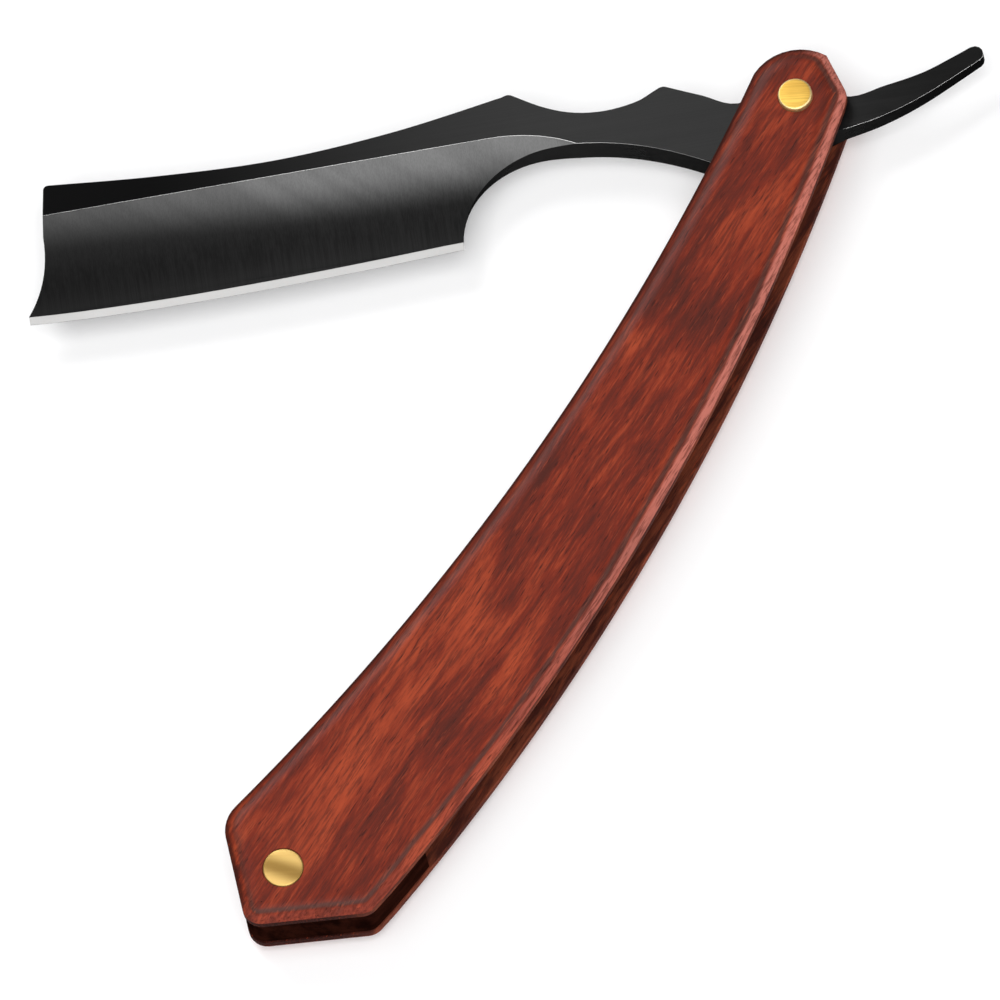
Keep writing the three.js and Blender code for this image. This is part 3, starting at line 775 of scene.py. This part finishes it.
class RAZOR_OT_rivets(bpy.types.Operator):
    """Turns both rivets: front heads with their shanks, back heads with their tubes"""
    bl_idname = "razor.rivets"
    bl_label = "Rivets"

    def execute(self, context):
        sizes, colours = context.scene.razor_sizes, context.scene.razor_colours
        for rivet, centre in (("pivot_rivet", PIVOT), ("far_rivet", FAR_RIVET)):
            for side, outward in (("front", 1), ("back", -1)):
                node = f"{rivet}_{side}"
                piece = self.head(node, centre, outward, sizes)
                if side == "front":
                    self.draw_shank(piece, node, outward, sizes)
                else:
                    self.draw_tube(piece, node, outward, sizes)
                smooth(piece, radians(35))
                piece.data.materials.append(material_once(rivet_brass, colours))
                finish_piece(piece, "handle", "rivet_brass", node)
        return {"FINISHED"}

    def head(self, node, centre, outward, sizes):
        """A disc with a rounded rim and a faint dome on its outer face."""
        low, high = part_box(node)
        radius = (high.x - low.x) / 2
        outer = (high.z if outward > 0 else low.z) - outward * sizes.rivet_dome
        inner = MIDDLE_Z + outward * (HALF_HANDLE - sizes.head_sink)
        bpy.ops.object.select_all(action="DESELECT")
        bpy.ops.mesh.primitive_cylinder_add(
            vertices=128, radius=radius, depth=abs(outer - inner),
            location=(centre.x, centre.y, (outer + inner) / 2))
        piece = bpy.context.object
        piece.name = piece.data.name = node + "_brass"
        choose(piece)
        bpy.ops.object.transform_apply(location=True, rotation=True, scale=True)
        start_shaping(piece, "EDGE")
        select_edges(piece, lambda edge: abs(middle(edge).z - outer) < 0.01 * MM)
        rim = min(sizes.rivet_edge, 0.45 * abs(outer - inner))
        bpy.ops.mesh.bevel(offset=rim, segments=5, affect="EDGES")
        bpy.ops.mesh.select_mode(type="FACE")
        select_faces(piece, lambda face: is_whole(face) and face.normal.z * outward > 0.9)
        rings = 6
        flat = radius - rim
        for ring in range(rings):
            bpy.ops.mesh.inset(thickness=flat / (rings + 1), depth=0)
            rise = sizes.rivet_dome * (2 * (rings - ring) - 1) / rings ** 2
            bpy.ops.transform.translate(value=(0, 0, outward * rise))
        stop_shaping()
        return piece

    def draw_shank(self, piece, node, outward, sizes):
        """Draws the solid shank out of the head's inner face."""
        low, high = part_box(node)
        self.neck(piece, outward, sizes.shank_radius, low.z if outward > 0 else high.z, sizes)

    def draw_tube(self, piece, node, outward, sizes):
        """Draws the tube out of the head's inner face, then sinks its bore."""
        low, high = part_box(node)
        end = low.z if outward > 0 else high.z
        self.neck(piece, outward, sizes.tube_radius, end, sizes)
        bpy.ops.object.mode_set(mode="EDIT")
        bpy.ops.mesh.inset(thickness=sizes.tube_wall, depth=0)
        floor = (high.z if outward > 0 else low.z) - outward * sizes.tube_floor
        bpy.ops.mesh.extrude_region_move(TRANSFORM_OT_translate={"value": (0, 0, floor - end)})
        stop_shaping()

    def neck(self, piece, outward, radius, end, sizes):
        """Insets the head's inner face to the radius and draws it out to the height of end."""
        places = [corner.co.x for corner in piece.data.vertices]
        head_radius = (max(places) - min(places)) / 2
        inner = MIDDLE_Z + outward * (HALF_HANDLE - sizes.head_sink)
        start_shaping(piece, "FACE")
        select_faces(piece, lambda face: is_whole(face) and face.normal.z * outward < -0.9)
        bpy.ops.mesh.inset(thickness=head_radius - radius, depth=0)
        bpy.ops.mesh.extrude_region_move(TRANSFORM_OT_translate={"value": (0, 0, end - inner)})
        stop_shaping()


class RAZOR_OT_washers(bpy.types.Operator):
    """Gives the thin pivot washers their brass"""
    bl_idname = "razor.washers"
    bl_label = "Washers"

    def execute(self, context):
        for node in ("front_pivot_washer", "back_pivot_washer"):
            washer = frame["nodes"][node]
            washer.data.materials.clear()
            washer.data.materials.append(material_once(rivet_brass, context.scene.razor_colours))
        return {"FINISHED"}


# ---- Stage ---------------------------------------------------------------------------------------


class RAZOR_OT_stage(bpy.types.Operator):
    """Lays the pale floor and sets the soft lights and the camera"""
    bl_idname = "razor.stage"
    bl_label = "Floor, lights and camera"

    def execute(self, context):
        stage = context.scene.razor_stage
        self.lay_floor(stage)
        self.set_world(context.scene)
        holder = self.add_camera(context.scene, stage)
        # Each light: its lean from straight up, in degrees; which way it leans as the camera sees
        # it, in degrees anticlockwise from the right; its width in metres; its brightness. The two
        # fills cast no shadow of their own, so shadows fall to the lower right only.
        self.add_light(holder, "camera_softbox", 20, 265, 1.0, 2.7)
        self.add_light(holder, "key", 42, 120, 0.45, 5.2)
        self.add_light(holder, "front_fill", 65, 285, 0.5, 3.0, shadow=False)
        self.add_light(holder, "right_fill", 62, 345, 0.6, 2.6, shadow=False)
        return {"FINISHED"}

    def lay_floor(self, stage):
        bpy.ops.object.select_all(action="DESELECT")
        bpy.ops.mesh.primitive_plane_add(size=6, location=(*BOX_CENTRE[:2], -0.05 * MM))
        floor = bpy.context.object
        floor.name = "floor"
        material, wires, shader = new_material("pale_floor")
        place = wires.place()
        clouds = wires.noise(place, scale=3, detail=3)
        wires.feed(shader["Base Color"], wires.mix(wires.steps(clouds, 0.3, 0.7, 0.0, 0.03),
                                                   opaque(stage.floor), FLOOR_CLOUD))
        shader["Roughness"].default_value = 0.9
        shader["Specular IOR Level"].default_value = 0.1
        # A little light of its own, as a lit table has, keeps all but the near shadows white.
        shader["Emission Color"].default_value = (1, 1, 1, 1)
        shader["Emission Strength"].default_value = 0.08
        floor.data.materials.append(material)

    def set_world(self, scene):
        world = bpy.data.worlds.new("studio")
        scene.world = world
        world.use_nodes = True
        background = world.node_tree.nodes["Background"]
        background.inputs["Color"].default_value = (1, 1, 1, 1)
        background.inputs["Strength"].default_value = 0.12
        scene.view_settings.view_transform = "Standard"

    def add_light(self, holder, name, lean, bearing, width, brightness, shadow=True):
        """A square softbox a metre from the razor; brightness is its radiance."""
        across = holder.matrix_world.col[0].xy.normalized().to_3d()
        away = across.cross(Vector((0, 0, -1)))
        sideways = across * cos(radians(bearing)) + away * sin(radians(bearing))
        direction = Vector((0, 0, 1)) * cos(radians(lean)) + sideways * sin(radians(lean))
        light = bpy.data.lights.new(name, "AREA")
        light.size = width
        light.energy = pi * brightness * width ** 2
        light.use_shadow = shadow
        lamp = bpy.data.objects.new(name, light)
        lamp.location = Vector(BOX_CENTRE) + direction
        lamp.rotation_euler = direction.to_track_quat("Z", "Y").to_euler()
        bpy.context.scene.collection.objects.link(lamp)

    def add_camera(self, scene, stage):
        camera = bpy.data.cameras.new("camera")
        camera.lens = stage.lens
        camera.clip_end = 100
        holder = bpy.data.objects.new("camera", camera)
        turn = (Matrix.Rotation(stage.turn, 4, "Z") @ Matrix.Rotation(stage.tilt, 4, "X")
                @ Matrix.Rotation(stage.roll, 4, "Z"))
        distance = camera.lens / camera.sensor_width * stage.view_width
        holder.matrix_world = (Matrix.Translation(stage.look_at) @ turn
                               @ Matrix.Translation((0, 0, distance)))
        scene.collection.objects.link(holder)
        scene.camera = holder
        return holder


# ---- Panel and registration ----------------------------------------------------------------------


class RAZOR_PT_panel(bpy.types.Panel):
    bl_label = "Straight razor"
    bl_idname = "RAZOR_PT_panel"
    bl_space_type = "VIEW_3D"
    bl_region_type = "UI"
    bl_category = "Razor"

    def draw(self, context):
        for group in (context.scene.razor_sizes, context.scene.razor_colours, context.scene.razor_stage):
            column = self.layout.column(align=True)
            for name in group.__annotations__:
                column.prop(group, name)
        for step in STEPS:
            self.layout.operator(step.bl_idname)


STEPS = (RAZOR_OT_stage, RAZOR_OT_blade, RAZOR_OT_scales, RAZOR_OT_wedge, RAZOR_OT_rivets,
         RAZOR_OT_washers)
GROUPS = {"razor_sizes": RazorSizes, "razor_colours": RazorColours, "razor_stage": RazorStage}


def register():
    for made in (*GROUPS.values(), *STEPS, RAZOR_PT_panel):
        bpy.utils.register_class(made)
    for name, group in GROUPS.items():
        setattr(bpy.types.Scene, name, PointerProperty(type=group))


def unregister():
    for name in GROUPS:
        delattr(bpy.types.Scene, name)
    for made in reversed((*GROUPS.values(), *STEPS, RAZOR_PT_panel)):
        bpy.utils.unregister_class(made)


def main():
    register()
    for step in STEPS:
        area, action = step.bl_idname.split(".")
        getattr(getattr(bpy.ops, area), action)()


if __name__ == "__main__":
    main()
